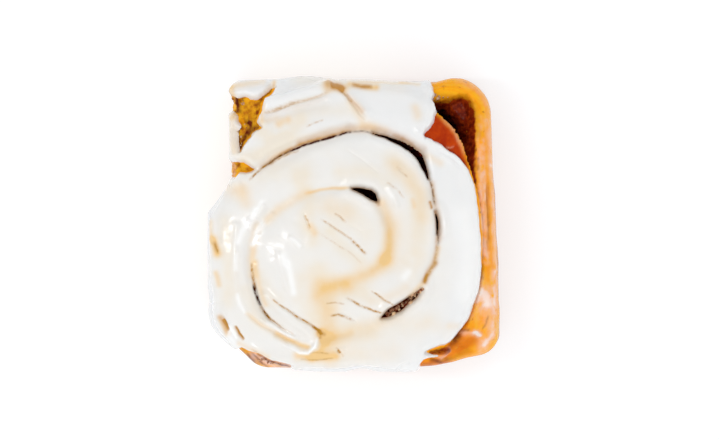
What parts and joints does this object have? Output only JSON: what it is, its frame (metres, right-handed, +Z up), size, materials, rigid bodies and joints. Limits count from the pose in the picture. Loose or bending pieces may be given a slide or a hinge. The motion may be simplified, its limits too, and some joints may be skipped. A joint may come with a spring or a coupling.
{
  "type": "maple cinnamon roll",
  "caption": "Square-sided swirl of baked sweet dough with cinnamon filling between its turns and thick maple icing over the top, a browned outer turn left bare on one side.",
  "frame": {"origin": "middle of the footprint, on the surface that the roll stands on", "axes": "+Z up through the iced top; the bare outer turn is on the +X side, and the picture looks straight down with +Y towards its top edge"},
  "size_m": [0.101, 0.1014, 0.0483],
  "materials": {
    "crust": "golden brown baked crust, slightly glossy where glaze lies on it, dry and crumbly where it is torn",
    "cinnamon": "dark red-brown sugary cinnamon syrup, wet and sticky",
    "icing": "thick off-white glossy icing with tan maple syrup in its hollows"
  },
  "bodies": {
    "root": {"dough": "crust", "filling_inner": "cinnamon", "filling_outer": "cinnamon", "icing": "icing"}
  },
  "joints": []
}
